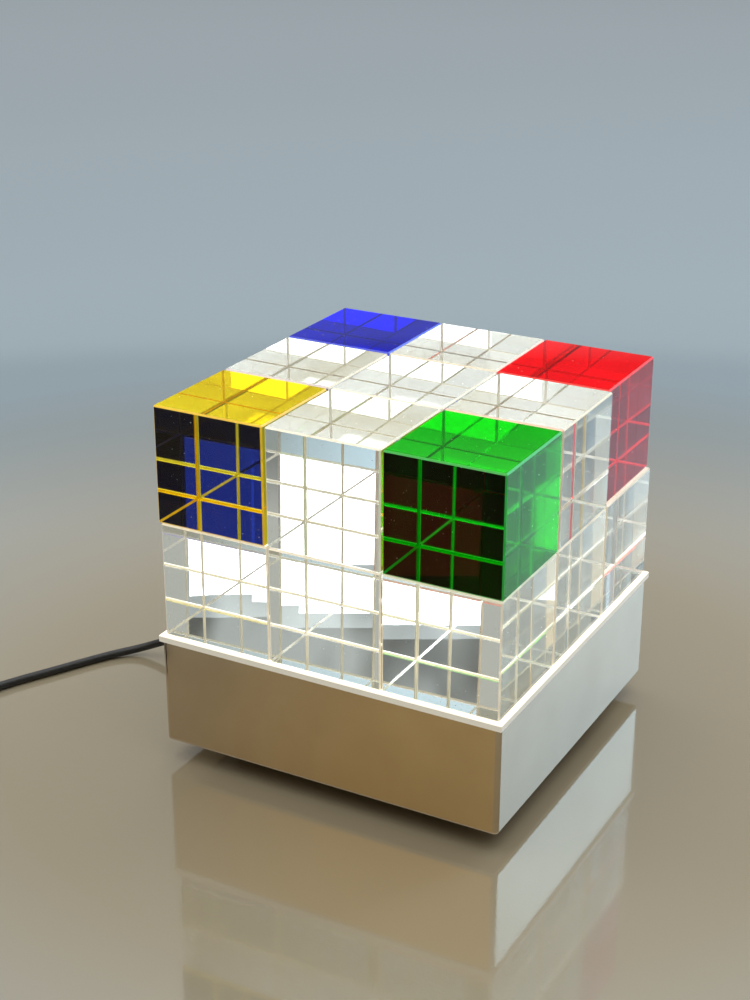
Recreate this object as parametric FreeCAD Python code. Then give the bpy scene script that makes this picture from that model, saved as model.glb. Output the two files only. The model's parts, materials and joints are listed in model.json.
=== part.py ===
import FreeCAD, Part
import math
import os

Vec = FreeCAD.Vector

# Cube table lamp: eighteen loose acrylic cubes stand three by three and two high on a lit opal
# plate, over a mirror-polished box that holds the lights. All lengths are in millimetres.
# The origin is the centre of the footprint on the surface, +Z is up and -Y is the front.

# Cubes
cube_edge = 98.8
cube_gap = 1.2
cube_chamfer = 1.3
row_count = 3

# Opal plate and what holds it
plate_thickness = 6.0
plate_margin = 3.9
plate_chamfer = 0.7
plate_overhang = 1.9
locator_length = 70.0
locator_width = 6.0
locator_height = 5.0
locator_clearance = 1.0
plate_post_radius = 6.0
plate_post_pitches = 1.5
post_hole_clearance = 0.4

# Mirror box
box_height = 91.5
box_wall = 1.5
box_corner_radius = 4.0
box_bottom_radius = 2.6
top_flange = 16.0
bottom_flange = 25.0
box_lift = 17.5

# Plinth and pads
plinth_inset = 42.0
plinth_chamfer = 1.0
pad_height = 2.5
pad_radius = 9.0
pad_inset = 20.0

# Bottom cover
cover_thickness = 1.5
cover_clearance = 0.4
cover_screw_inset = 13.0
cover_screw_share = 0.56

# Light tray
tray_wall = 1.0
tray_driver_gap = 7.6
tray_clearance = 2.0
tray_rim_gap = 0.4
tray_corner_radius = 6.0
stand_post_radius = 6.0
spacer_radius = 4.0
spacer_screw_distance = 17.2

# Light board
board_half = 116.0
board_thickness = 1.6
board_corner_radius = 5.0
chip_size = 3.6
chip_height = 1.1
chip_pitch = 30.0
chip_row = 7

# Screws
small_shank_radius = 1.5
small_head_radius = 2.9
small_head_height = 2.0
small_screw_length = 6.0
large_shank_radius = 2.0
large_head_radius = 3.8
large_head_height = 2.6
screw_clearance = 0.15
thread_clearance = 0.05
plinth_screw_length = 14.0
plinth_screw_share = 0.72

# Driver
driver_length = 112.0
driver_width = 60.0
driver_height = 22.0
driver_tab = 9.0
driver_tab_thickness = 2.0
driver_radius = 3.0
driver_offset = 22.0

# Terminal block, clamp and earth stud
block_length = 20.0
block_width = 30.0
block_height = 15.0
block_offset = 82.0
block_pole_pitch = 9.0
block_tower_radius = 3.2
block_tower_height = 3.0
clamp_length = 10.0
clamp_width = 26.0
clamp_bar_height = 7.0
clamp_nut_gap = 21.9
clamp_screw_offset = 9.0
clamp_screw_foot = 1.5
grip_clearance = 0.06
stud_radius = 2.0
stud_height = 14.0
stud_distance = 12.0
lug_distance = 6.0
nut_sides = 6
nut_flat_radius = 3.9
nut_height = 3.2
ring_radius = 4.2
ring_thickness = 1.0
wire_radius = 1.1
wire_gap = 0.2
grommet_radius = 5.0
grommet_lip = 1.2
grommet_wall = 1.4
light_wire_pitches = 1.5
light_wire_end = 1.5
light_wire_pitch = 3.2

# Cord and the sleeve it leaves through
cord_diameter = 7.2
bore_clearance = 0.12
sleeve_length = 38.0
sleeve_root_radius = 7.4
sleeve_tip_radius = 4.9
sleeve_collar_radius = 10.0
sleeve_collar = 3.0
sleeve_shank_radius = 6.0
sleeve_shank_length = 9.0
sleeve_slots = 5
sleeve_slot_width = 1.9
sleeve_slot_depth = 1.1
nut_height_large = 5.0
nut_radius_large = 10.0
nut_cover_gap = 1.5
wall_hole_clearance = 0.1
bare_wire_length = 4.0

# Cord coil and its tie
coil_centre = (-308.0, -276.0)
coil_radius = 52.0
coil_pitch = 7.7
coil_layer_step = 7.7
coil_turns_below = 3
coil_turns_above = 1.5
tie_thickness = 1.2
tie_clearance = 0.4
tie_width = 9.0
tie_corner = 3.4

# Switch on the cord
switch_length = 62.0
switch_width = 27.0
switch_height = 19.0
switch_split_above_cord = 4.4
switch_corner_radius = 9.0
switch_edge_radius = 3.5
switch_wall = 2.0
switch_grip = 8.0
switch_seam = 0.5
switch_seam_depth = 0.5
rocker_length = 15.4
rocker_width = 10.4
rocker_rise = 4.2
rocker_dip = 2.9
rocker_drop = 1.5
rocker_window_gap = 0.6
rocker_side_gap = 0.35
rocker_tilt = 8.0
pivot_radius = 1.0
pivot_clearance = 0.06
pivot_below_top = 4.0
lug_thickness = 1.8
switch_screw_side = 8.0
switch_screw_along = 20.0
switch_boss_radius = 3.2
switch_screw_length = 12.0
switch_pilot_radius = 1.3
switch_head_radius = 2.6
switch_pocket_depth = 0.4
lug_drop = 2.6

# Plug
plug_body_length = 24.0
plug_body_width = 26.0
plug_body_height = 21.0
plug_corner_radius = 5.0
plug_edge_radius = 2.0
plug_neck_length = 22.0
plug_neck_root = 8.0
plug_neck_slots = 3
plug_neck_slot_width = 1.8
plug_neck_slot_depth = 1.0
blade_width = 6.3
blade_thickness = 1.5
blade_length = 17.5
blade_spacing = 12.7
blade_side = 4.0
earth_pin_radius = 2.4
earth_pin_length = 20.5
earth_pin_side = 7.9
earth_pin_tip = 0.8

# One overrun serves every cut
cut_overrun = 1.0
same_place = 0.001

# Where each cube stands off its even place, as shares of the gap between cubes
upper_shift_shares = {
    "yellow": (-0.6, -0.35),
    "front": (0.1, -0.1),
    "green": (0.5, -0.4),
    "left": (-0.3, 0.3),
    "centre": (0.0, 0.1),
    "right": (0.35, 0.0),
    "blue": (-0.9, 1.0),
    "back": (-1.6, 0.7),
    "red": (-2.3, 0.2),
}
lower_shift_shares = {
    "front_left": (1.0, -0.1),
    "front": (0.5, -0.3),
    "front_right": (0.2, -0.3),
    "left": (0.2, 0.2),
    "centre": (0.1, 0.0),
    "right": (0.2, 0.1),
    "back_left": (-0.8, 0.5),
    "back": (-1.45, 0.3),
    "back_right": (0.1, 0.4),
}
upper_places = {
    "yellow": (-1, -1),
    "front": (0, -1),
    "green": (1, -1),
    "left": (-1, 0),
    "centre": (0, 0),
    "right": (1, 0),
    "blue": (-1, 1),
    "back": (0, 1),
    "red": (1, 1),
}
lower_places = {
    "front_left": (-1, -1),
    "front": (0, -1),
    "front_right": (1, -1),
    "left": (-1, 0),
    "centre": (0, 0),
    "right": (1, 0),
    "back_left": (-1, 1),
    "back": (0, 1),
    "back_right": (1, 1),
}

# Sizes that follow
cord_radius = cord_diameter / 2
cube_pitch = cube_edge + cube_gap
cubes_half = cube_pitch * (row_count - 1) / 2 + cube_edge / 2
plate_half = cubes_half + plate_margin
box_half = plate_half - plate_overhang
inner_half = box_half - box_wall
box_bottom = box_lift
box_top = box_bottom + box_height
plate_top = box_top + plate_thickness
cover_bottom = box_bottom + box_wall
cover_top = cover_bottom + cover_thickness
cover_half = inner_half - cover_clearance
plinth_half = box_half - plinth_inset
plinth_bottom = pad_height
plinth_top = cover_bottom
tray_top = box_top - box_wall - tray_rim_gap
tray_bottom = cover_top + driver_height + tray_driver_gap
tray_floor = tray_bottom + tray_wall
tray_half = inner_half - tray_clearance
spacer_square_half = plinth_half * plinth_screw_share + spacer_screw_distance
post_square_half = chip_pitch * plate_post_pitches
board_bottom = tray_floor
board_top = board_bottom + board_thickness
gland_height = cover_top + nut_radius_large + nut_cover_gap
wall_x = -box_half
sleeve_tip_x = wall_x - sleeve_length
clamp_x = nut_height_large + clamp_nut_gap + clamp_length / 2 - inner_half
block_top = cover_top + block_height
block_outer_x = -block_offset - block_length / 2
block_inner_x = -block_offset + block_length / 2
wire_level = cover_top + block_height / 2
cord_end_x = block_outer_x - bare_wire_length
driver_end_x = driver_offset - driver_length / 2
stud_x = block_inner_x + stud_distance
stud_y = -block_pole_pitch
coil_low = tie_thickness + tie_clearance + cord_radius
coil_high = coil_low + coil_layer_step
switch_cord_height = coil_low
switch_split = switch_cord_height + switch_split_above_cord
switch_x = coil_centre[0] - coil_radius
pivot_z = switch_height - pivot_below_top
rocker_window_x = rocker_width / 2 + rocker_side_gap

# How far apart the points lie on which the coil's least gap is measured
gap_step = 3.0

# The share of a run that each rounded corner may take
arc_share = 0.45

# The cord's way over the surface, from the tip of the sleeve to the switch
cord_run_points = [
    (sleeve_tip_x, 0.0, gland_height),
    (-200.0, 0.0, gland_height),
    (-214.0, 0.0, 30.6),
    (-236.0, -1.0, 24.8),
    (-260.0, -3.5, 14.6),
    (-281.0, -11.0, 5.9),
    (-298.0, -28.0, 3.7),
    (-312.0, -53.0, 3.7),
    (-326.0, -80.0, 3.7),
    (-341.0, -107.0, 3.7),
    (-353.0, -133.0, 4.2),
    (-360.0, -158.0, 5.2),
    (-360.0, -178.0, 5.2),
]
# From the coil's end to the plug, as steps from that end
plug_lead_steps = [
    (0.0, 0.0, 0.0),
    (0.0, -26.0, 0.0),
    (1.5, -50.0, 0.0),
    (8.0, -69.0, -5.6),
    (21.0, -84.0, -8.6),
    (39.0, -92.0, -7.4),
    (57.0, -95.0, -3.2),
    (76.0, -95.0, -2.4),
]
switch_start_y = cord_run_points[-1][1]
switch_end_y = switch_start_y - switch_length
switch_middle_y = (switch_start_y + switch_end_y) / 2
link_points = [
    (switch_x, switch_end_y, switch_cord_height),
    (switch_x, coil_centre[1], coil_low),
]


def box(low, high):
    size = [high[i] - low[i] for i in range(3)]
    return Part.makeBox(size[0], size[1], size[2], Vec(*low))


def square_prism(half, bottom, top, corner=0.0):
    prism = box((-half, -half, bottom), (half, half, top))
    if corner:
        prism = round_edges(prism, corner, upright)
    return prism


def upright(edge):
    first, last = edge.Vertexes[0].Point, edge.Vertexes[-1].Point
    return abs(first.x - last.x) + abs(first.y - last.y) < same_place


def round_edges(shape, radius, chosen):
    edges = [edge for edge in shape.Edges if chosen(edge)]
    return shape.makeFillet(radius, edges)


def edges_at_height(height):
    def chosen(edge):
        return all(abs(v.Point.z - height) < same_place for v in edge.Vertexes)

    return chosen


def edges_at_x(place):
    def chosen(edge):
        return all(abs(v.Point.x - place) < same_place for v in edge.Vertexes)

    return chosen


def rod(radius, length, base, direction=Vec(0, 0, 1)):
    return Part.makeCylinder(radius, length, Vec(*base), direction)


def cut_all(shape, tools):
    return shape.cut(Part.makeCompound(tools)) if tools else shape


def join(shapes):
    whole = shapes[0]
    for shape in shapes[1:]:
        whole = whole.fuse(shape)
    return whole.removeSplitter()


def square_of(half, z):
    return [(x, y, z) for x in (-half, half) for y in (-half, half)]


def screw_down(shank, head, head_height, length, seat, up=1):
    """A pan screw whose head rests on seat; up is 1 where the head is above it, or -1."""
    x, y, z = seat
    body = rod(shank, length, (x, y, z - length if up > 0 else z))
    cap = rod(head, head_height, (x, y, z if up > 0 else z - head_height))
    return join([body, cap])


def small_screw(length, seat, up=1):
    return screw_down(small_shank_radius, small_head_radius, small_head_height, length, seat, up)


def hexagon(corner_radius, turned=0.0):
    turns = [turned + math.tau * k / nut_sides for k in range(nut_sides)]
    return [(corner_radius * math.cos(turn), corner_radius * math.sin(turn)) for turn in turns]


def prism(points, along):
    corners = [Vec(*point) for point in points]
    return Part.Face(Part.makePolygon(corners + [corners[0]])).extrude(along)


def rounded_path(points):
    """Straight runs joined by tangent arcs, each as large as its two runs allow, and the radii."""
    knots = [Vec(*point) for point in points]
    edges = []
    radii = []
    here = knots[0]
    for before, corner, after in zip(knots, knots[1:], knots[2:]):
        back = (before - corner).normalize()
        on = (after - corner).normalize()
        half_turn = (math.pi - back.getAngle(on)) / 2
        shorter = min(before.distanceToPoint(corner), corner.distanceToPoint(after))
        reach = arc_share * shorter
        radius = reach / math.tan(half_turn)
        radii.append(radius)
        start = corner + back * reach
        end = corner + on * reach
        middle_way = (back + on).normalize()
        centre = corner + middle_way * (radius / math.cos(half_turn))
        middle = centre - middle_way * radius
        edges.append(Part.LineSegment(here, start).toShape())
        edges.append(Part.Arc(start, middle, end).toShape())
        here = end
    edges.append(Part.LineSegment(here, knots[-1]).toShape())
    return edges, radii


def tube(edges, radius):
    wire = Part.Wire(edges)
    first = edges[0]
    start = first.valueAt(first.FirstParameter)
    direction = first.tangentAt(first.FirstParameter)
    ring = Part.Wire([Part.makeCircle(radius, start, direction)])
    return wire.makePipeShell([ring], True, False)


def path_length(edges):
    return sum(edge.Length for edge in edges)


def export(name, shape):
    shape.exportStep("parts/" + name + ".step")


# Cubes
def make_cube(place, shift, bottom):
    x = place[0] * cube_pitch + shift[0] * cube_gap
    y = place[1] * cube_pitch + shift[1] * cube_gap
    half = cube_edge / 2
    cube = box((x - half, y - half, bottom), (x + half, y + half, bottom + cube_edge))
    return cube.makeChamfer(cube_chamfer, cube.Edges)


def make_cubes():
    for name, place in lower_places.items():
        export("cube_lower_" + name, make_cube(place, lower_shift_shares[name], plate_top))
    for name, place in upper_places.items():
        cube = make_cube(place, upper_shift_shares[name], plate_top + cube_edge)
        export("cube_upper_" + name, cube)


# Opal plate, its locating bars and its posts
def make_plate():
    plate = square_prism(plate_half, box_top, plate_top)
    plate = plate.makeChamfer(plate_chamfer, plate.Edges)
    export("diffuser_plate", plate)
    outer = box_half - top_flange - locator_clearance
    inner = outer - locator_width
    low = box_top - locator_height
    side = locator_length / 2
    bars = [
        box((-side, inner, low), (side, outer, box_top)),
        box((-side, -outer, low), (side, -inner, box_top)),
        box((inner, -side, low), (outer, side, box_top)),
        box((-outer, -side, low), (-inner, side, box_top)),
    ]
    export("plate_locators", Part.makeCompound(bars))
    height = box_top - tray_floor
    posts = [rod(plate_post_radius, height, at) for at in square_of(post_square_half, tray_floor)]
    export("plate_posts", Part.makeCompound(posts))


# Mirror box, open above and below inside its folded flanges
def cover_screw_places(z):
    edge = box_half - cover_screw_inset
    along = box_half * cover_screw_share
    return [(edge * s, along * t, z) for s in (-1, 1) for t in (-1, 1)]


def make_mirror_box():
    shell = square_prism(box_half, box_bottom, box_top, box_corner_radius)
    shell = round_edges(shell, box_bottom_radius, edges_at_height(box_bottom))
    hollow = square_prism(
        inner_half, box_bottom + box_wall, box_top - box_wall, box_corner_radius - box_wall
    )
    mouth_half = box_half - top_flange
    mouth = square_prism(mouth_half, box_top - box_wall - cut_overrun, box_top + cut_overrun)
    floor_half = box_half - bottom_flange
    floor = square_prism(floor_half, box_bottom - cut_overrun, box_bottom + box_wall + cut_overrun)
    hole_radius = sleeve_shank_radius + wall_hole_clearance
    cord_hole = rod(
        hole_radius, box_wall + 2 * cut_overrun, (wall_x - cut_overrun, 0, gland_height), Vec(1, 0, 0)
    )
    screw_holes = [
        rod(small_shank_radius + screw_clearance, box_wall + 2 * cut_overrun, at)
        for at in cover_screw_places(box_bottom - cut_overrun)
    ]
    export("mirror_box", cut_all(shell, [hollow, mouth, floor, cord_hole] + screw_holes))


# Plinth board, its screws and its pads
def plinth_screw_places(z):
    return square_of(plinth_half * plinth_screw_share, z)


def make_plinth():
    board = square_prism(plinth_half, plinth_bottom, plinth_top)
    board = board.makeChamfer(plinth_chamfer, board.Edges)
    pilot = large_shank_radius + thread_clearance
    holes = [
        rod(pilot, plinth_screw_length + cut_overrun, (x, y, cover_top - plinth_screw_length))
        for x, y, _ in plinth_screw_places(0)
    ]
    export("plinth", cut_all(board, holes))
    screws = [
        screw_down(
            large_shank_radius, large_head_radius, large_head_height, plinth_screw_length, at
        )
        for at in plinth_screw_places(cover_top)
    ]
    export("plinth_screws", Part.makeCompound(screws))
    pads = [rod(pad_radius, pad_height, at) for at in square_of(plinth_half - pad_inset, 0)]
    export("rubber_pads", Part.makeCompound(pads))


# Bottom cover and the screws that hold it to the box
def make_bottom_cover():
    cover = square_prism(cover_half, cover_bottom, cover_top, box_corner_radius - box_wall)
    start = cover_bottom - cut_overrun
    depth = cover_thickness + 2 * cut_overrun
    holes = [rod(small_shank_radius + thread_clearance, depth, at) for at in cover_screw_places(start)]
    holes += [rod(large_shank_radius + screw_clearance, depth, at) for at in plinth_screw_places(start)]
    export("bottom_cover", cut_all(cover, holes))
    screws = [small_screw(small_screw_length, at, -1) for at in cover_screw_places(box_bottom)]
    export("cover_screws", Part.makeCompound(screws))


# Light tray on its posts and spacers
def make_light_tray():
    pan = square_prism(tray_half, tray_bottom, tray_top, tray_corner_radius)
    room = square_prism(
        tray_half - tray_wall, tray_floor, tray_top + cut_overrun, tray_corner_radius - tray_wall
    )
    depth = tray_wall + 2 * cut_overrun
    start = tray_bottom - cut_overrun
    screw_hole = small_shank_radius + screw_clearance
    holes = [rod(screw_hole, depth, at) for at in square_of(spacer_square_half, start)]
    holes.append(rod(grommet_radius - grommet_wall, depth, light_wire_place(start)))
    export("light_tray", cut_all(pan, [room] + holes))
    height = tray_bottom - cover_top
    posts = [rod(stand_post_radius, height, at) for at in square_of(post_square_half, cover_top)]
    spacers = []
    for x, y, z in square_of(spacer_square_half, cover_top):
        spacer = rod(spacer_radius, height, (x, y, z))
        bore = rod(
            small_shank_radius + thread_clearance, small_screw_length + cut_overrun,
            (x, y, tray_bottom - small_screw_length),
        )
        spacers.append(spacer.cut(bore))
    export("tray_posts", Part.makeCompound(posts + spacers))
    screws = [small_screw(small_screw_length, at) for at in square_of(spacer_square_half, board_top)]
    export("tray_screws", Part.makeCompound(screws))


# Light board with its chips
def light_wire_place(z):
    return (chip_pitch * light_wire_pitches, 0, z)


def make_light_board():
    board = square_prism(board_half, board_bottom, board_top, board_corner_radius)
    start = board_bottom - cut_overrun
    depth = board_thickness + 2 * cut_overrun
    screw_hole = small_shank_radius + screw_clearance
    holes = [
        rod(plate_post_radius + post_hole_clearance, depth, at)
        for at in square_of(post_square_half, start)
    ]
    holes += [rod(screw_hole, depth, at) for at in square_of(spacer_square_half, start)]
    holes.append(rod(grommet_radius + post_hole_clearance, depth, light_wire_place(start)))
    export("light_board", cut_all(board, holes))
    chips = []
    first = -chip_pitch * (chip_row - 1) / 2
    for i in range(chip_row):
        for j in range(chip_row):
            x = first + i * chip_pitch
            y = first + j * chip_pitch
            low = (x - chip_size / 2, y - chip_size / 2, board_top)
            high = (x + chip_size / 2, y + chip_size / 2, board_top + chip_height)
            chips.append(box(low, high))
    export("light_chips", Part.makeCompound(chips))


# Driver, and the two wires that rise from it through the tray's grommet to the board
def make_driver():
    half_length = driver_length / 2
    half_width = driver_width / 2
    case = box(
        (driver_offset - half_length, -half_width, cover_top),
        (driver_offset + half_length, half_width, cover_top + driver_height),
    )
    case = round_edges(case, driver_radius, upright)
    reach = half_length + driver_tab
    tab_half = half_width / 2
    tabs = box(
        (driver_offset - reach, -tab_half, cover_top),
        (driver_offset + reach, tab_half, cover_top + driver_tab_thickness),
    )
    screw_x = half_length + driver_tab / 2
    places = [(driver_offset + s * screw_x, 0) for s in (-1, 1)]
    holes = [
        rod(small_shank_radius + screw_clearance, driver_tab_thickness + 2 * cut_overrun,
            (x, y, cover_top - cut_overrun))
        for x, y in places
    ]
    export("light_driver", cut_all(join([case, tabs]), holes))
    seat = cover_top + driver_tab_thickness
    screws = [small_screw(driver_tab_thickness, (x, y, seat)) for x, y in places]
    export("driver_screws", Part.makeCompound(screws))


def make_light_wires():
    x, _, bottom = light_wire_place(cover_top + driver_height)
    rise = board_top + light_wire_end - bottom
    wires = [
        rod(wire_radius, rise, (x, side * light_wire_pitch / 2, bottom)) for side in (-1, 1)
    ]
    export("light_wires", Part.makeCompound(wires))
    sleeve = rod(grommet_radius - grommet_wall, tray_wall, (x, 0, tray_bottom))
    lip = rod(grommet_radius, grommet_lip, (x, 0, tray_bottom - grommet_lip))
    top_lip = rod(grommet_radius, grommet_lip, (x, 0, tray_floor))
    way = rod(
        wire_radius + light_wire_pitch / 2 + bore_clearance,
        tray_wall + 2 * grommet_lip + 2 * cut_overrun,
        (x, 0, tray_bottom - grommet_lip - cut_overrun),
    )
    export("tray_grommet", join([lip, sleeve, top_lip]).cut(way))


# Terminal block on the cover, with a screw tower at each end of each pole
def make_terminal_block():
    half_width = block_width / 2
    block = box((block_outer_x, -half_width, cover_top), (block_inner_x, half_width, block_top))
    quarter = block_length / 4
    towers = [
        rod(block_tower_radius, block_tower_height, (s * quarter - block_offset, y, block_top))
        for y in (-block_pole_pitch, 0, block_pole_pitch)
        for s in (-1, 1)
    ]
    export("terminal_block", join([block] + towers))


# Cord clamp in two halves, with the screws that press them on the cord
def make_cord_clamp():
    side = clamp_width / 2
    near = clamp_x - clamp_length / 2
    far = clamp_x + clamp_length / 2
    seat = gland_height + clamp_bar_height
    screw_end = cover_top + clamp_screw_foot
    places = [(clamp_x, s * clamp_screw_offset) for s in (-1, 1)]
    grip = rod(
        cord_radius + grip_clearance, clamp_length + 2 * cut_overrun,
        (near - cut_overrun, 0, gland_height), Vec(1, 0, 0),
    )
    holes = [
        rod(small_shank_radius + thread_clearance, seat - screw_end + cut_overrun, (x, y, screw_end))
        for x, y in places
    ]
    lower = box((near, -side, cover_top), (far, side, gland_height))
    upper = box((near, -side, gland_height), (far, side, seat))
    export("cord_clamp_base", cut_all(lower, [grip] + holes))
    export("cord_clamp_bar", cut_all(upper, [grip] + holes))
    screws = [small_screw(seat - screw_end, (x, y, seat)) for x, y in places]
    export("clamp_screws", Part.makeCompound(screws))


# Earth stud with two nuts, and the wire whose ring lies under them
def make_earth_stud():
    at = (stud_x, stud_y, cover_top)
    bolt = rod(stud_radius, stud_height, at)
    nut_bottom = cover_top + ring_thickness
    corner_radius = nut_flat_radius / math.cos(math.pi / nut_sides)
    nuts = []
    for level in range(2):
        z = nut_bottom + level * nut_height
        corners = hexagon(corner_radius, level * math.pi / nut_sides)
        nuts.append(prism([(stud_x + a, stud_y + b, z) for a, b in corners], Vec(0, 0, nut_height)))
    export("earth_stud", join([bolt] + nuts))
    ring = rod(ring_radius, ring_thickness, at)
    lug_x = block_inner_x + lug_distance
    near = stud_y - wire_radius
    far = stud_y + wire_radius
    tongue = box((lug_x, near, cover_top), (stud_x, far, nut_bottom))
    riser = box((lug_x, near, cover_top), (lug_x + ring_thickness, far, wire_level + wire_radius))
    wire = rod(wire_radius, lug_distance, (block_inner_x, stud_y, wire_level), Vec(1, 0, 0))
    export("earth_wire", join([ring, tongue, riser, wire]).cut(bolt))


# Wires from the cord's end to the block, and from the block to the driver
def make_supply_wires():
    feed_pitch = 2 * wire_radius + wire_gap
    feed = [
        rod(wire_radius, bare_wire_length, (cord_end_x, n * feed_pitch, gland_height), Vec(1, 0, 0))
        for n in (-1, 0, 1)
    ]
    supply = [
        rod(wire_radius, driver_end_x - block_inner_x, (block_inner_x, y, wire_level), Vec(1, 0, 0))
        for y in (0, block_pole_pitch)
    ]
    export("supply_wires", Part.makeCompound(feed + supply))


# Cord sleeve, its nut and the stretch of cord inside
def ribbed_cone(root, tip, length, slots, slot_width, slot_depth):
    """The outline of a tapered sleeve along +X, with ring slots that let it flex."""
    points = [(0.0, root)]
    lead = length / (slots + 2)
    for n in range(slots):
        at = lead * (n + 1)
        outer = root + (tip - root) * at / length
        past = root + (tip - root) * (at + slot_width) / length
        points += [(at, outer), (at, outer - slot_depth), (at + slot_width, past - slot_depth)]
        points.append((at + slot_width, past))
    points.append((length, tip))
    return points


def revolve_x(outline, bore, origin, direction):
    """A sleeve round an axis along X; direction is 1 or -1."""
    start, end = outline[0][0], outline[-1][0]
    loop = [(start, bore)] + outline + [(end, bore)]
    points = [Vec(origin[0] + direction * a, origin[1], origin[2] + r) for a, r in loop]
    face = Part.Face(Part.makePolygon(points + [points[0]]))
    return face.revolve(Vec(*origin), Vec(1, 0, 0))


def make_cord_sleeve():
    bore = cord_radius + bore_clearance
    cone = ribbed_cone(
        sleeve_root_radius, sleeve_tip_radius, sleeve_length - sleeve_collar, sleeve_slots,
        sleeve_slot_width, sleeve_slot_depth,
    )
    outline = [(0.0, sleeve_collar_radius), (sleeve_collar, sleeve_collar_radius)]
    outline += [(a + sleeve_collar, r) for a, r in cone]
    shank_end = box_wall + sleeve_shank_length
    outline = [(-shank_end, sleeve_shank_radius), (0.0, sleeve_shank_radius)] + outline
    export("cord_sleeve", revolve_x(outline, bore, (wall_x, 0, gland_height), -1))
    nut_x = wall_x + box_wall
    corners = [(nut_x, a, gland_height + b) for a, b in hexagon(nut_radius_large)]
    nut = prism(corners, Vec(nut_height_large, 0, 0))
    nut_bore = rod(
        sleeve_shank_radius + thread_clearance, nut_height_large + 2 * cut_overrun,
        (nut_x - cut_overrun, 0, gland_height), Vec(1, 0, 0),
    )
    export("sleeve_nut", nut.cut(nut_bore))
    inner_length = cord_end_x - sleeve_tip_x
    inner = rod(cord_radius, inner_length, (sleeve_tip_x, 0, gland_height), Vec(1, 0, 0))
    export("cord_inner", inner)


# The cord's free stretches
def coil_edges():
    """Two layers of a spiral from half turns on two centres: in below, up one layer, out above."""
    here = Vec(coil_centre[0] - coil_radius, coil_centre[1], coil_low)
    along = Vec(0, -1, 0)
    edges = []

    def half_turn(here, along, radius):
        inward = Vec(0, 0, 1).cross(along)
        centre = here + inward * radius
        for start_way, next_way in ((inward * -1, along), (along, inward)):
            middle = centre + (start_way + next_way).normalize() * radius
            arc = Part.Arc(centre + start_way * radius, middle, centre + next_way * radius)
            edges.append(arc.toShape())
        return centre + inward * radius

    half_turns_below = 2 * coil_turns_below
    half_turns_above = round(2 * coil_turns_above)
    lanes = [coil_radius - k * coil_pitch / 2 for k in range(half_turns_below)]
    for radius in lanes:
        here = half_turn(here, along, radius)
        along = along * -1
    radius = coil_radius - coil_turns_below * coil_pitch
    lift = math.asin(coil_layer_step / (2 * radius))
    inward = Vec(0, 0, 1).cross(along)
    way_in = inward * math.cos(lift) + Vec(0, 0, math.sin(lift))
    first_centre = here + way_in * radius
    middle = first_centre + (way_in * -1 + along).normalize() * radius
    top_of_first = first_centre + along * radius
    edges.append(Part.Arc(here, middle, top_of_first).toShape())
    second_centre = top_of_first - along * radius
    last = second_centre + way_in * radius
    middle = second_centre + (way_in + along).normalize() * radius
    edges.append(Part.Arc(top_of_first, middle, last).toShape())
    here = last
    along = along * -1
    for radius in lanes[: -1 - half_turns_above : -1]:
        here = half_turn(here, along, radius)
        along = along * -1
    return edges, here


def least_gap(edges, diameter):
    """The least distance between the tube's turns, measured on points along its middle line."""
    points = []
    reached = []
    total = 0.0
    for edge in edges:
        count = max(2, int(edge.Length / gap_step))
        first, last = edge.ParameterRange
        for k in range(count):
            points.append(edge.valueAt(first + (last - first) * k / count))
            reached.append(total + edge.Length * k / count)
        total += edge.Length
    least = total
    skip = math.pi * diameter * 2
    for i, point in enumerate(points):
        for j in range(i + 1, len(points)):
            if reached[j] - reached[i] > skip:
                least = min(least, point.distanceToPoint(points[j]))
    return least - diameter


def make_cord():
    run_edges, run_radii = rounded_path(cord_run_points)
    export("cord_run", join_tube("cord_run", run_edges))
    link_edges = [Part.LineSegment(Vec(*link_points[0]), Vec(*link_points[1])).toShape()]
    export("cord_link", join_tube("cord_link", link_edges))
    turns, coil_end = coil_edges()
    export("cord_coil", join_tube("cord_coil", turns))
    print("coil least gap", round(least_gap(turns, cord_diameter), 3))
    lead_points = plug_lead_points(coil_end)
    lead_edges, lead_radii = rounded_path(lead_points)
    export("plug_lead", join_tube("plug_lead", lead_edges))
    print("run radii", [round(r, 1) for r in run_radii])
    print("lead radii", [round(r, 1) for r in lead_radii])
    free = sum(path_length(edges) for edges in (run_edges, link_edges, turns, lead_edges))
    total = free + sleeve_length + switch_length
    print("cord length", round(total, 1), "coil length", round(path_length(turns), 1))
    return lead_points[-1]


def join_tube(name, edges):
    shape = tube(edges, cord_radius)
    expected = math.pi * cord_radius * cord_radius * path_length(edges)
    print(name, "volume ratio", round(shape.Volume / expected, 5), "valid", shape.isValid())
    return shape


def plug_lead_points(start):
    return [(start.x + dx, start.y + dy, start.z + dz) for dx, dy, dz in plug_lead_steps]


def make_coil_tie():
    inner_lane = coil_radius - (2 * coil_turns_below - 1) * coil_pitch / 2
    outer_lane = coil_radius - coil_pitch / 2
    inner_face = inner_lane - cord_radius
    off_centre = (tie_width + coil_pitch) / 2
    near = coil_centre[1] + math.sqrt(inner_face**2 - off_centre**2) - tie_clearance
    far = coil_centre[1] + outer_lane + cord_radius + tie_clearance
    low = tie_thickness
    high = coil_high + cord_radius + tie_clearance
    left = coil_centre[0] - tie_width / 2
    right = coil_centre[0] + tie_width / 2
    outside = box((left, near - tie_thickness, 0), (right, far + tie_thickness, high + tie_thickness))
    inside = box((left - cut_overrun, near, low), (right + cut_overrun, far, high))
    outside = round_edges(outside, tie_corner, lies_along_x)
    inside = round_edges(inside, tie_corner - tie_thickness, lies_along_x)
    export("coil_tie", outside.cut(inside))


def lies_along_x(edge):
    first, last = edge.Vertexes[0].Point, edge.Vertexes[-1].Point
    return abs(first.y - last.y) + abs(first.z - last.z) < same_place


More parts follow.
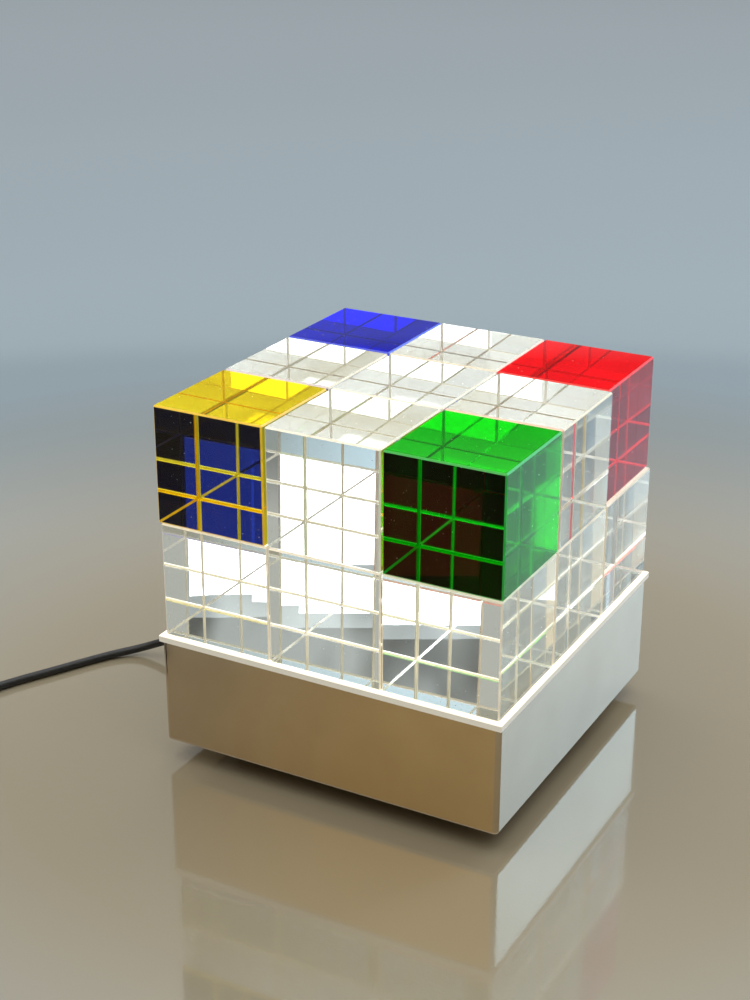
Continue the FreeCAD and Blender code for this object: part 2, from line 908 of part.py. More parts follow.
# Rocker switch on the cord
def switch_block(half_width, half_length, bottom, top, corner):
    block = box(
        (switch_x - half_width, switch_middle_y - half_length, bottom),
        (switch_x + half_width, switch_middle_y + half_length, top),
    )
    return round_edges(block, corner, upright)


def switch_screw_places(z):
    return [
        (switch_x + switch_screw_side, switch_middle_y - switch_screw_along, z),
        (switch_x - switch_screw_side, switch_middle_y + switch_screw_along, z),
    ]


def hollow_switch():
    """Both shells as one: rounded outside, room inside, the cord's way, the seam and the bosses."""
    half_width = switch_width / 2
    half_length = switch_length / 2
    body = switch_block(half_width, half_length, 0, switch_height, switch_corner_radius)
    body = round_edges(body, switch_edge_radius, edges_at_height(switch_height))
    room = switch_block(
        half_width - switch_wall, half_length - switch_grip, switch_wall,
        switch_height - switch_wall, switch_corner_radius - switch_wall,
    )
    cord_way = rod(
        cord_radius + bore_clearance, switch_length + 2 * cut_overrun,
        (switch_x, switch_end_y - cut_overrun, switch_cord_height), Vec(0, 1, 0),
    )
    seam_outer = box(
        (switch_x - switch_width, switch_end_y - switch_width, switch_split - switch_seam / 2),
        (switch_x + switch_width, switch_start_y + switch_width, switch_split + switch_seam / 2),
    )
    seam_inner = switch_block(
        half_width - switch_seam_depth, half_length - switch_seam_depth,
        switch_split - switch_seam, switch_split + switch_seam, switch_corner_radius - switch_seam_depth,
    )
    shell = cut_all(body, [room, cord_way, seam_outer.cut(seam_inner)])
    boss_height = switch_height - 2 * switch_wall
    bosses = [rod(switch_boss_radius, boss_height, at) for at in switch_screw_places(switch_wall)]
    return join([shell] + bosses)


def pivot_lugs():
    lugs = []
    reach = lug_thickness + pivot_radius
    for side in (-1, 1):
        near = switch_x + side * rocker_window_x
        far = near + side * lug_thickness
        low = (min(near, far), switch_middle_y - reach, pivot_z - lug_drop)
        high = (max(near, far), switch_middle_y + reach, switch_height - switch_wall)
        lugs.append(box(low, high))
    return lugs


def make_switch_housing():
    shell = hollow_switch()
    big = switch_length
    low_x, high_x = switch_x - big, switch_x + big
    low_y, high_y = switch_middle_y - big, switch_middle_y + big
    below = box((low_x, low_y, -big), (high_x, high_y, switch_split))
    above = box((low_x, low_y, switch_split), (high_x, high_y, switch_height + big))
    pilots = [
        rod(switch_pilot_radius + thread_clearance, switch_screw_length + cut_overrun, at)
        for at in switch_screw_places(small_head_height - cut_overrun)
    ]
    pockets = [
        rod(switch_head_radius + screw_clearance, small_head_height + cut_overrun, at)
        for at in switch_screw_places(-cut_overrun)
    ]
    window_y = rocker_length / 2 + rocker_window_gap
    window = box(
        (switch_x - rocker_window_x, switch_middle_y - window_y, switch_split + cut_overrun),
        (switch_x + rocker_window_x, switch_middle_y + window_y, switch_height + cut_overrun),
    )
    pin_half = rocker_window_x + lug_thickness
    pin = rod(pivot_radius, 2 * pin_half, (switch_x - pin_half, switch_middle_y, pivot_z), Vec(1, 0, 0))
    upper = join([shell.common(above)] + pivot_lugs())
    export("switch_upper_shell", cut_all(upper, [window, pin] + pilots))
    export("switch_lower_shell", cut_all(shell.common(below), pilots + pockets))
    export("switch_pivot_pin", pin)
    head_height = small_head_height - switch_pocket_depth
    shank_length = switch_screw_length - small_head_height
    screws = [
        screw_down(
            switch_pilot_radius, switch_head_radius, head_height, shank_length,
            (x, y, small_head_height), -1,
        )
        for x, y, _ in switch_screw_places(0)
    ]
    export("switch_screws", Part.makeCompound(screws))


def make_rocker():
    half = rocker_length / 2
    outline = [
        (-half, rocker_rise), (0.0, rocker_dip), (half, rocker_rise),
        (half, -rocker_drop), (-half, -rocker_drop),
    ]
    left = switch_x - rocker_width / 2
    points = [(left, switch_middle_y + a, pivot_z + b) for a, b in outline]
    rocker = prism(points, Vec(rocker_width, 0, 0))
    hole = rod(
        pivot_radius + pivot_clearance, rocker_width + 2 * cut_overrun,
        (left - cut_overrun, switch_middle_y, pivot_z), Vec(1, 0, 0),
    )
    rocker = rocker.cut(hole)
    rocker.rotate(Vec(switch_x, switch_middle_y, pivot_z), Vec(1, 0, 0), rocker_tilt)
    export("switch_rocker", rocker)


# Plug at the cord's far end
def make_plug(inlet):
    x, y, z = inlet
    neck = ribbed_cone(
        plug_neck_root, sleeve_tip_radius, plug_neck_length, plug_neck_slots,
        plug_neck_slot_width, plug_neck_slot_depth,
    )
    face_x = x + plug_neck_length
    neck_solid = revolve_x(neck, cord_radius + bore_clearance, (face_x, y, z), -1)
    half_height = plug_body_height / 2
    half_width = plug_body_width / 2
    end = face_x + plug_body_length
    body = box((face_x, y - half_width, z - half_height), (end, y + half_width, z + half_height))
    body = round_edges(body, plug_corner_radius, lies_along_x)
    body = round_edges(body, plug_edge_radius, edges_at_x(face_x))
    export("plug_body", join([neck_solid, body]))
    pins = []
    for side in (-1, 1):
        middle = z + side * blade_spacing / 2
        low = (end, y + blade_side - blade_width / 2, middle - blade_thickness / 2)
        high = (end + blade_length, y + blade_side + blade_width / 2, middle + blade_thickness / 2)
        pins.append(box(low, high))
    earth = rod(earth_pin_radius, earth_pin_length, (end, y - earth_pin_side, z), Vec(1, 0, 0))
    tip = list(filter(edges_at_x(end + earth_pin_length), earth.Edges))
    pins.append(earth.makeChamfer(earth_pin_tip, tip))
    export("plug_pins", Part.makeCompound(pins))


def main():
    os.makedirs("parts", exist_ok=True)
    make_cubes()
    make_plate()
    make_mirror_box()
    make_plinth()
    make_bottom_cover()
    make_light_tray()
    make_light_board()
    make_driver()
    make_light_wires()
    make_terminal_block()
    make_cord_clamp()
    make_earth_stud()
    make_supply_wires()
    make_cord_sleeve()
    inlet = make_cord()
    make_coil_tie()
    make_switch_housing()
    make_rocker()
    make_plug(inlet)


main()
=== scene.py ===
import json
import math

import bmesh
import bpy
from mathutils import Matrix, Vector


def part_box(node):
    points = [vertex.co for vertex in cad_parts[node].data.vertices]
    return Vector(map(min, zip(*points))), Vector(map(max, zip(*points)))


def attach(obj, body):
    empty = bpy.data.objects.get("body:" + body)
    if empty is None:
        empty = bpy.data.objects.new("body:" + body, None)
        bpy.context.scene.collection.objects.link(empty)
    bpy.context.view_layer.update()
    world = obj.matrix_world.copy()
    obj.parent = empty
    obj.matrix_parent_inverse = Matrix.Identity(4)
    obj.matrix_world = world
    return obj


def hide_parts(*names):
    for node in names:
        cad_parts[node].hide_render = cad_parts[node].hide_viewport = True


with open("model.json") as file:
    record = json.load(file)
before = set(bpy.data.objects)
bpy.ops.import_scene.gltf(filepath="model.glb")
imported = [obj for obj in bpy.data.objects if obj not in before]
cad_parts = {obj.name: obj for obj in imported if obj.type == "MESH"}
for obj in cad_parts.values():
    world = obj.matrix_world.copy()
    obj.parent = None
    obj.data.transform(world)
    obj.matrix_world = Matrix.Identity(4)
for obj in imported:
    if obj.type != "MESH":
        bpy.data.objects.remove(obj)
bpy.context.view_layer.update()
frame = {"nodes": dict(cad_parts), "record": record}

nodes = frame["nodes"]
scene = bpy.context.scene
print("frame loaded:", len(nodes), "nodes")


# camera, from the fit to the photograph's corners
viewPoint = {
    "position": (0.6125, -1.1865, 0.7667),
    "azimuth": 28.682,  # degrees round from the front face
    "elevation": 22.697,
    "lens": 63.24,
    "sensor": 36.0,
}


def addCamera():
    turn, rise = math.radians(viewPoint["azimuth"]), math.radians(viewPoint["elevation"])
    back = Vector((math.sin(turn) * math.cos(rise), -math.cos(turn) * math.cos(rise), math.sin(rise)))
    right = Vector((0, 0, 1)).cross(back).normalized()
    up = back.cross(right)
    data = bpy.data.cameras.new("photoCamera")
    data.lens, data.sensor_width = viewPoint["lens"], viewPoint["sensor"]
    data.clip_start, data.clip_end = 0.05, 60
    photoCamera = bpy.data.objects.new("photoCamera", data)
    axes = Matrix((right, up, back)).transposed().to_4x4()
    photoCamera.matrix_world = Matrix.Translation(viewPoint["position"]) @ axes
    scene.collection.objects.link(photoCamera)
    scene.camera = photoCamera


addCamera()
print("camera placed")


# node helpers
def startMaterial(name):
    material = bpy.data.materials.new(name)
    material.use_nodes = True
    tree = material.node_tree
    tree.nodes.clear()
    output = tree.nodes.new("ShaderNodeOutputMaterial")
    return material, tree, output


def addNode(tree, kind, settings=None, **values):
    node = tree.nodes.new("ShaderNode" + kind)
    for key, value in (settings or {}).items():
        setattr(node, key, value)
    for socket, value in values.items():
        node.inputs[socket.replace("_", " ")].default_value = value
    return node


def join(tree, start, end):
    tree.links.new(start, end)


def colour(rgb):
    return (*rgb, 1.0)


def placeOf(tree):
    return addNode(tree, "TexCoord").outputs["Object"]


def noiseOf(tree, scale, detail=3.0, roughness=0.5, stretch=None):
    noise = addNode(tree, "TexNoise", Scale=scale, Detail=detail, Roughness=roughness)
    place = placeOf(tree)
    if stretch:
        mapping = addNode(tree, "Mapping", Scale=stretch)
        join(tree, place, mapping.inputs["Vector"])
        place = mapping.outputs["Vector"]
    join(tree, place, noise.inputs["Vector"])
    return noise.outputs["Fac"]


def ranged(tree, value, low, high, start=0.3, end=0.7):
    spread = addNode(tree, "MapRange", From_Min=start, From_Max=end, To_Min=low, To_Max=high)
    join(tree, value, spread.inputs["Value"])
    return spread.outputs["Result"]


def product(tree, first, second):
    both = addNode(tree, "Math", {"operation": "MULTIPLY"})
    join(tree, first, both.inputs[0])
    join(tree, second, both.inputs[1])
    return both.outputs[0]


def mixed(tree, amount, first, second):
    blend = addNode(tree, "Mix", {"data_type": "RGBA"})
    join(tree, amount, blend.inputs[0])
    for socket, value in ((blend.inputs[6], first), (blend.inputs[7], second)):
        if isinstance(value, tuple):
            socket.default_value = colour(value)
        else:
            join(tree, value, socket)
    return blend.outputs[2]


def bumped(tree, height, shader, strength, distance):
    bump = addNode(tree, "Bump", Strength=strength, Distance=distance)
    join(tree, height, bump.inputs["Height"])
    join(tree, bump.outputs["Normal"], shader.inputs["Normal"])


# finishes of the plainer pieces: colour and shade blend over the mottle, grain is the bump
finishes = {
    "zinc_steel": {"colour": (0.55, 0.56, 0.57), "shade": (0.40, 0.41, 0.43), "mottle": 90,
                   "roughness": (0.28, 0.42), "metallic": 1.0, "grain": 1400, "bump": 0.00002},
    "screw_steel": {"colour": (0.62, 0.61, 0.59), "shade": (0.46, 0.45, 0.44), "mottle": 300,
                    "roughness": (0.2, 0.34), "metallic": 1.0, "grain": 2500, "bump": 0.00001},
    "black_board": {"colour": (0.016, 0.016, 0.017), "shade": (0.028, 0.027, 0.026), "mottle": 60,
                    "roughness": (0.42, 0.58), "metallic": 0.0, "grain": 2600, "bump": 0.00005},
    "pad_rubber": {"colour": (0.02, 0.02, 0.02), "shade": (0.035, 0.034, 0.033), "mottle": 200,
                   "roughness": (0.6, 0.8), "metallic": 0.0, "grain": 3500, "bump": 0.00005},
    "white_enamel": {"colour": (0.86, 0.86, 0.84), "shade": (0.78, 0.78, 0.75), "mottle": 30,
                     "roughness": (0.3, 0.42), "metallic": 0.0, "grain": 900, "bump": 0.00003},
    "board_white": {"colour": (0.80, 0.81, 0.79), "shade": (0.70, 0.72, 0.70), "mottle": 240,
                    "roughness": (0.35, 0.5), "metallic": 0.0, "grain": 3000, "bump": 0.00001},
    "chip_yellow": {"colour": (0.85, 0.70, 0.25), "shade": (0.75, 0.58, 0.18), "mottle": 900,
                    "roughness": (0.4, 0.6), "metallic": 0.0, "grain": 4000, "bump": 0.00001},
    "driver_plastic": {"colour": (0.72, 0.72, 0.70), "shade": (0.62, 0.62, 0.60), "mottle": 70,
                       "roughness": (0.45, 0.6), "metallic": 0.0, "grain": 2400, "bump": 0.00004},
    "block_plastic": {"colour": (0.78, 0.77, 0.72), "shade": (0.68, 0.67, 0.62), "mottle": 160,
                      "roughness": (0.4, 0.55), "metallic": 0.0, "grain": 2600, "bump": 0.00003},
    "wire_black": {"colour": (0.02, 0.02, 0.022), "shade": (0.04, 0.04, 0.04), "mottle": 300,
                   "roughness": (0.38, 0.5), "metallic": 0.0, "grain": 3200, "bump": 0.00002},
    "earth_green": {"colour": (0.05, 0.30, 0.06), "shade": (0.42, 0.46, 0.05), "mottle": 160,
                    "roughness": (0.38, 0.5), "metallic": 0.0, "grain": 3200, "bump": 0.00002},
    "brass": {"colour": (0.76, 0.56, 0.26), "shade": (0.62, 0.44, 0.20), "mottle": 260,
              "roughness": (0.2, 0.34), "metallic": 1.0, "grain": 2200, "bump": 0.00001},
    "cord_black": {"colour": (0.012, 0.013, 0.015), "shade": (0.024, 0.025, 0.027), "mottle": 120,
                   "roughness": (0.34, 0.48), "metallic": 0.0, "grain": 2800, "bump": 0.00004},
    "black_moulding": {"colour": (0.014, 0.014, 0.015), "shade": (0.026, 0.026, 0.027), "mottle": 80,
                       "roughness": (0.36, 0.5), "metallic": 0.0, "grain": 3000, "bump": 0.00005},
}


def plainFinish(name):
    look = finishes[name]
    material, tree, output = startMaterial(name)
    shader = addNode(tree, "BsdfPrincipled", Metallic=look["metallic"])
    mottle = ranged(tree, noiseOf(tree, look["mottle"], 4), 0, 1)
    join(tree, mixed(tree, mottle, look["colour"], look["shade"]), shader.inputs["Base Color"])
    low, high = look["roughness"]
    join(tree, ranged(tree, noiseOf(tree, look["mottle"] * 3, 2), low, high), shader.inputs["Roughness"])
    bumped(tree, noiseOf(tree, look["grain"], 2), shader, 0.6, look["bump"])
    join(tree, shader.outputs[0], output.inputs["Surface"])
    return material


# solid acrylic: what each colour lets through in 100 mm, the chamfers' colour, the strength of their
# painted glow, and last a faint painted glow on the body faces standing in for light scattered inside
acrylics = {
    "clear": {"passes": (0.965, 0.98, 0.965), "edge": (1.0, 0.91, 0.72), "glow": 0.20, "paintedGlow": 0.0},
    "yellow": {"passes": (0.96, 0.83, 0.051), "edge": (1.0, 0.62, 0.015), "glow": 0.26, "paintedGlow": 0.0},
    "green": {"passes": (0.0052, 0.68, 0.0155), "edge": (0.01, 0.55, 0.06), "glow": 0.15, "paintedGlow": 0.0},
    "red": {"passes": (0.98, 0.001, 0.020), "edge": (0.95, 0.02, 0.015), "glow": 0.26, "paintedGlow": 0.028},
    "blue": {"passes": (0.002, 0.006, 0.76), "edge": (0.05, 0.08, 0.85), "glow": 0.20, "paintedGlow": 0.0},
}
acrylicBody = {
    "ior": 1.49,
    "skin": (0.1, 0.1, 0.1),  # how strongly the polished outside shines, seen straight on
    "span": 0.1,
    "waveScale": 26,
    "wave": 0.000012,
    "dustScale": 170,
    "dustSize": 0.09,
    "dustPatches": (0.52, 0.66),
}


def dustMask(tree):
    cells = addNode(tree, "TexVoronoi", Scale=acrylicBody["dustScale"])
    join(tree, placeOf(tree), cells.inputs["Vector"])
    size = acrylicBody["dustSize"]
    speck = ranged(tree, cells.outputs["Distance"], 1, 0, size * 0.6, size)
    patch = ranged(tree, noiseOf(tree, 35, 3), 0, 1, *acrylicBody["dustPatches"])
    return product(tree, speck, patch)


def acrylicFinish(name):
    look = acrylics[name]
    material, tree, output = startMaterial(name + "_acrylic")
    # the body's emission is a painted glow, standing in for light scattered inside the acrylic
    shader = addNode(
        tree, "BsdfPrincipled", Base_Color=(1, 1, 1, 1), Roughness=0.0, IOR=acrylicBody["ior"],
        Specular_Tint=colour(acrylicBody["skin"]), Emission_Color=colour(look["edge"]),
        Emission_Strength=look["paintedGlow"],
    )
    join(tree, ranged(tree, dustMask(tree), 1, 0, 0, 1), shader.inputs["Transmission Weight"])
    bumped(tree, noiseOf(tree, acrylicBody["waveScale"], 1), shader, 0.35, acrylicBody["wave"])
    join(tree, shader.outputs[0], output.inputs["Surface"])
    # what is left after the span is exp(-(1 - colour) * density * span)
    least = min(look["passes"])
    density = -math.log(least) / acrylicBody["span"]
    tint = [1 + math.log(share) / acrylicBody["span"] / density for share in look["passes"]]
    inside = addNode(tree, "VolumeAbsorption", Color=colour(tint), Density=density)
    join(tree, inside.outputs[0], output.inputs["Volume"])
    return material


# the cubes' chamfers, with a painted glow that stands in for the plate's light carried through the acrylic,
# brighter near the plate
chamferGlow = {"low": 0.11, "high": 0.24, "lowShare": 1.5, "uneven": (0.75, 1.2), "roughness": (0.06, 0.18),
               "clearness": 0.3}


def edgeFinish(name):
    look = acrylics[name]
    material, tree, output = startMaterial(name + "_edge")
    shader = addNode(
        tree, "BsdfPrincipled", Base_Color=colour(look["edge"]), IOR=acrylicBody["ior"],
        Transmission_Weight=chamferGlow["clearness"], Emission_Color=colour(look["edge"]),
    )
    join(tree, ranged(tree, noiseOf(tree, 90, 2), *chamferGlow["roughness"]), shader.inputs["Roughness"])
    height = addNode(tree, "SeparateXYZ")
    join(tree, placeOf(tree), height.inputs[0])
    # painted glow, stronger low down near the plate and weaker higher up
    nearPlate, farFromPlate = look["glow"] * chamferGlow["lowShare"], look["glow"]
    fall = ranged(
        tree, height.outputs["Z"], nearPlate, farFromPlate, chamferGlow["low"], chamferGlow["high"],
    )
    uneven = ranged(tree, noiseOf(tree, 60, 2), *chamferGlow["uneven"])
    join(tree, product(tree, fall, uneven), shader.inputs["Emission Strength"])
    join(tree, shader.outputs[0], output.inputs["Surface"])
    return material


cube = {
    "chamfer": 0.0013,
    "airFilm": 0.00006,  # the cubes lie on each other with a film of air between
}
cubeColours = {"upper_yellow": "yellow", "upper_green": "green", "upper_red": "red", "upper_blue": "blue"}


def acrylicCube(place, bodyFinish, rimFinish):
    node = "cube_" + place
    low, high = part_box(node)
    low.z += cube["airFilm"]
    high.z -= cube["airFilm"]
    mesh = bpy.data.meshes.new("block_" + place)
    shape = bmesh.new()
    bmesh.ops.create_cube(shape, size=1.0)
    size, middle = high - low, (high + low) / 2
    for corner in shape.verts:
        corner.co = Vector([corner.co[i] * size[i] + middle[i] for i in range(3)])
    bmesh.ops.bevel(
        shape, geom=shape.edges[:], offset=cube["chamfer"], offset_type="OFFSET", segments=1,
        affect="EDGES",
    )
    for face in shape.faces:
        face.material_index = 0 if max(abs(part) for part in face.normal) > 0.95 else 1
        face.smooth = False
    shape.to_mesh(mesh)
    shape.free()
    mesh.materials.append(bodyFinish)
    mesh.materials.append(rimFinish)
    block = bpy.data.objects.new("block_" + place, mesh)
    scene.collection.objects.link(block)
    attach(block, place + "_cube")
    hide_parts(node)
    return block


cubeFinishes = {name: (acrylicFinish(name), edgeFinish(name)) for name in acrylics}
places = sorted(name[len("cube_"):] for name in nodes if name.startswith("cube_"))
for place in places:
    acrylicCube(place, *cubeFinishes[cubeColours.get(place, "clear")])
print("cubes made:", len(places))


# opal plate, lit from below: white in the middle and warmer at the border
plate = {
    "sheet": (0.62, 0.62, 0.60),
    "white": (1.0, 1.0, 0.98),
    "warm": (1.0, 0.93, 0.74),
    "middle": 1.20,
    "border": 0.90,
    "sideShare": 0.34,
    "warmFrom": 0.45,  # as a share of the way from the middle to the rim
    "half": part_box("diffuser_plate")[1].x,
}


def opalFinish():
    material, tree, output = startMaterial("opal_acrylic")
    shader = addNode(
        tree, "BsdfPrincipled", Base_Color=colour(plate["sheet"]), Roughness=0.22, IOR=acrylicBody["ior"],
    )
    place = addNode(tree, "SeparateXYZ")
    join(tree, placeOf(tree), place.inputs[0])
    sides = []
    for axis in ("X", "Y"):
        far = addNode(tree, "Math", {"operation": "ABSOLUTE"})
        join(tree, place.outputs[axis], far.inputs[0])
        sides.append(far.outputs[0])
    reach = addNode(tree, "Math", {"operation": "MAXIMUM"})
    join(tree, sides[0], reach.inputs[0])
    join(tree, sides[1], reach.inputs[1])
    rim = ranged(tree, reach.outputs[0], 0, 1, plate["half"] * plate["warmFrom"], plate["half"])
    join(tree, mixed(tree, rim, plate["white"], plate["warm"]), shader.inputs["Emission Color"])
    glow = ranged(tree, rim, plate["middle"], plate["border"], 0, 1)
    mottled = product(tree, glow, ranged(tree, noiseOf(tree, 40, 3), 0.96, 1.03))
    facing = addNode(tree, "SeparateXYZ")
    join(tree, addNode(tree, "NewGeometry").outputs["True Normal"], facing.inputs[0])
    upward = ranged(tree, facing.outputs["Z"], plate["sideShare"], 1, 0.1, 0.7)
    join(tree, product(tree, mottled, upward), shader.inputs["Emission Strength"])
    bumped(tree, noiseOf(tree, 1500, 2), shader, 0.3, 0.00002)
    join(tree, shader.outputs[0], output.inputs["Surface"])
    return material


# mirror-polished sheet: a slow wave in the polish and hairline scratches
mirror = {
    "colour": (0.71, 0.62, 0.50),
    "shade": (0.63, 0.54, 0.43),
    "smearScale": 14,
    "roughness": (0.02, 0.06),
    "waveScale": 22,
    "wave": 0.00018,
    "scratchScale": 160,
    "scratchStretch": (1, 1, 14),
    "scratch": 0.000004,
    "peelScale": 240,
    "peel": 0.00003,
}


def mirrorFinish():
    material, tree, output = startMaterial("mirror_steel")
    shader = addNode(tree, "BsdfPrincipled", Metallic=1.0)
    smear = ranged(tree, noiseOf(tree, mirror["smearScale"], 5, 0.6), 0, 1)
    join(tree, mixed(tree, smear, mirror["colour"], mirror["shade"]), shader.inputs["Base Color"])
    low, high = mirror["roughness"]
    join(tree, ranged(tree, noiseOf(tree, 45, 6, 0.65), low, high), shader.inputs["Roughness"])
    slow = addNode(tree, "Bump", Strength=0.5, Distance=mirror["wave"])
    join(tree, noiseOf(tree, mirror["waveScale"], 2), slow.inputs["Height"])
    lines = addNode(tree, "Bump", Strength=0.25, Distance=mirror["scratch"])
    scratches = noiseOf(tree, mirror["scratchScale"], 3, 0.6, mirror["scratchStretch"])
    join(tree, scratches, lines.inputs["Height"])
    join(tree, slow.outputs["Normal"], lines.inputs["Normal"])
    peel = addNode(tree, "Bump", Strength=0.5, Distance=mirror["peel"])
    join(tree, noiseOf(tree, mirror["peelScale"], 2), peel.inputs["Height"])
    join(tree, lines.outputs["Normal"], peel.inputs["Normal"])
    join(tree, peel.outputs["Normal"], shader.inputs["Normal"])
    join(tree, shader.outputs[0], output.inputs["Surface"])
    return material


slotFinishes = {name: plainFinish(name) for name in finishes}
slotFinishes["opal_acrylic"] = opalFinish()
slotFinishes["mirror_steel"] = mirrorFinish()
slotFinishes["clear_acrylic"] = cubeFinishes["clear"][0]
for part in frame["record"]["subparts"]:
    piece, slot = nodes[part["node"]], part["material_slot"]
    if slot in slotFinishes:
        piece.data.materials.clear()
        piece.data.materials.append(slotFinishes[slot])
print("finishes on the CAD nodes")


# mains lead from the sleeve, through the switch, into the coil and out to the plug
lead = {
    "radius": 0.0036,
    "length": 1.765,
    "route": [
        (-0.1894, 0.0, 0.032), (-0.200, 0.0, 0.032), (-0.214, 0.0, 0.0306), (-0.236, -0.001, 0.0248),
        (-0.260, -0.0035, 0.0146), (-0.281, -0.011, 0.0059), (-0.298, -0.028, 0.0037),
        (-0.312, -0.053, 0.0037), (-0.326, -0.080, 0.0037), (-0.341, -0.107, 0.0037),
        (-0.353, -0.133, 0.0042), (-0.360, -0.158, 0.0052), (-0.360, -0.178, 0.0052),
        (-0.360, -0.209, 0.0052), (-0.360, -0.240, 0.0052), (-0.360, -0.262, 0.0052),
    ],
    "toPlug": [
        (0.0, -0.026, 0.0), (0.0015, -0.050, 0.0), (0.008, -0.069, -0.0056), (0.021, -0.084, -0.0086),
        (0.039, -0.092, -0.0074), (0.057, -0.095, -0.0032), (0.076, -0.095, -0.0024),
    ],
}
coil = {"middle": (-0.308, -0.276), "radius": 0.052, "pitch": 0.0077, "low": 0.0052, "high": 0.0129,
        "below": 3, "above": 1.5, "pointsPerHalf": 6}


def coilPoints():
    here = Vector((coil["middle"][0] - coil["radius"], coil["middle"][1], 0))
    step = math.pi / coil["pointsPerHalf"]
    halvesBelow, halvesAbove = 2 * coil["below"], round(2 * coil["above"])
    inner = coil["radius"] - coil["below"] * coil["pitch"]
    radii = [coil["radius"] - k * coil["pitch"] / 2 for k in range(halvesBelow)] + [inner]
    radii += [inner + (k + 1) * coil["pitch"] / 2 for k in range(halvesAbove)]
    points = []
    for k, radius in enumerate(radii):
        side = -1 if k % 2 == 0 else 1  # even halves start at the left, odd ones at the right
        centre = here - Vector((side * radius, 0, 0))
        start = math.pi if side < 0 else 0.0
        for i in range(coil["pointsPerHalf"]):
            angle = start + (i + 0.5) * step
            reach = radius / math.cos(step / 2)
            climb = 0.0 if k < halvesBelow else 1.0
            if k == halvesBelow:
                climb = (1 - math.cos((i + 0.5) * step)) / 2
            height = coil["low"] + (coil["high"] - coil["low"]) * climb
            points.append((centre.x + reach * math.cos(angle), centre.y + reach * math.sin(angle), height))
        here = centre - Vector((side * radius, 0, 0))
    return points, (here.x, here.y, coil["high"])


def mainsLead():
    turns, coilEnd = coilPoints()
    points = lead["route"] + turns
    points += [tuple(coilEnd[i] + step[i] for i in range(3)) for step in lead["toPlug"]]
    data = bpy.data.curves.new("mainsLead", "CURVE")
    data.dimensions = "3D"
    data.bevel_depth, data.bevel_resolution, data.resolution_u = lead["radius"], 6, 12
    data.use_fill_caps = True
    line = data.splines.new("NURBS")
    line.points.add(len(points) - 1)
    for knot, point in zip(line.points, points):
        knot.co = (*point, 1.0)
    line.order_u = 3
    line.use_endpoint_u = True
    cable = bpy.data.objects.new("mainsLead", data)
    scene.collection.objects.link(cable)
    data.materials.append(slotFinishes["cord_black"])
    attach(cable, "lamp_base")
    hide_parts("cord_run", "cord_link", "cord_coil", "plug_lead")


mainsLead()
print("lead laid")


# floor, world and lamps
floor = {
    "half": 14,
    "near": (0.315, 0.27, 0.185),
    "far": (0.36, 0.45, 0.515),
    "nearEnd": 0.35,
    "farStart": 1.0,
    "haze": (0.36, 0.42, 0.455),  # the far floor runs into the backdrop
    "hazeFrom": 7.5,
    "hazeTo": 13.0,
    "cloudScale": 9,
    "roughness": (0.04, 0.07),
    "peelScale": 380,
    "peel": 0.00020,
}


def addFloor():
    half = floor["half"]
    mesh = bpy.data.meshes.new("floor")
    corners = [(-half, -half, 0), (half, -half, 0), (half, half, 0), (-half, half, 0)]
    mesh.from_pydata(corners, [], [(0, 1, 2, 3)])
    ground = bpy.data.objects.new("floor", mesh)
    scene.collection.objects.link(ground)
    material, tree, output = startMaterial("floorLacquer")
    shader = addNode(tree, "BsdfPrincipled", IOR=1.55, Coat_Weight=1.0, Coat_Roughness=0.03, Coat_IOR=1.5)
    away = addNode(tree, "VectorMath", {"operation": "LENGTH"})
    join(tree, placeOf(tree), away.inputs[0])
    share = ranged(tree, away.outputs["Value"], 0, 1, floor["nearEnd"], floor["farStart"])
    join(tree, mixed(tree, share, floor["near"], floor["far"]), shader.inputs["Base Color"])
    low, high = floor["roughness"]
    clouds = noiseOf(tree, floor["cloudScale"], 4)
    join(tree, ranged(tree, clouds, low, high), shader.inputs["Roughness"])
    bumped(tree, noiseOf(tree, floor["peelScale"], 2), shader, 0.35, floor["peel"])
    hazed = addNode(tree, "Emission", Color=colour(floor["haze"]), Strength=1.0)
    hazeShare = ranged(tree, away.outputs["Value"], 0, 1, floor["hazeFrom"], floor["hazeTo"])
    blend = addNode(tree, "MixShader")
    join(tree, hazeShare, blend.inputs[0])
    join(tree, shader.outputs[0], blend.inputs[1])
    join(tree, hazed.outputs[0], blend.inputs[2])
    join(tree, blend.outputs[0], output.inputs["Surface"])
    mesh.materials.append(material)


# the room: a range says from where to where the colour beside it comes in, in height for low,
# high and above, to the right for the corner, and along its own way for the others
studio = {
    "front": (0.17, 0.14, 0.105),
    "away": (-0.48, 0.877, 0.0),
    "awayRange": (-0.35, 0.55),
    "horizon": (0.31, 0.34, 0.36),
    "behindLow": (0.085, 0.09, 0.095),
    "lowRange": (0.298, 0.310),
    "behindHigh": (0.49, 0.485, 0.455),
    "highRange": (0.345, 0.395),
    "above": (1.70, 1.70, 1.66),
    "aboveRange": (0.55, 0.82),
    "corner": (0.38, 0.40, 0.405),
    "cornerRange": (0.25, 0.38),
    "bands": (0.30, 1.35),  # darkest and brightest stripe, as shares of the corner's colour
    "bandScale": 17,
    "bandStretch": (1, 1, 0.35),
    "warm": (0.78, 0.46, 0.07),
    "warmWay": (-0.2957, -0.7585, 0.5807),
    "warmRange": (0.9724, 0.9914),
    "sky": (2.1, 2.95, 3.7),  # a soft glow that only shiny surfaces mirror
    "skyWay": (0.3190, 0.8098, 0.4924),
    "skyRange": (0.9703, 0.9945),
    "backdrop": (0.36, 0.42, 0.455),
}
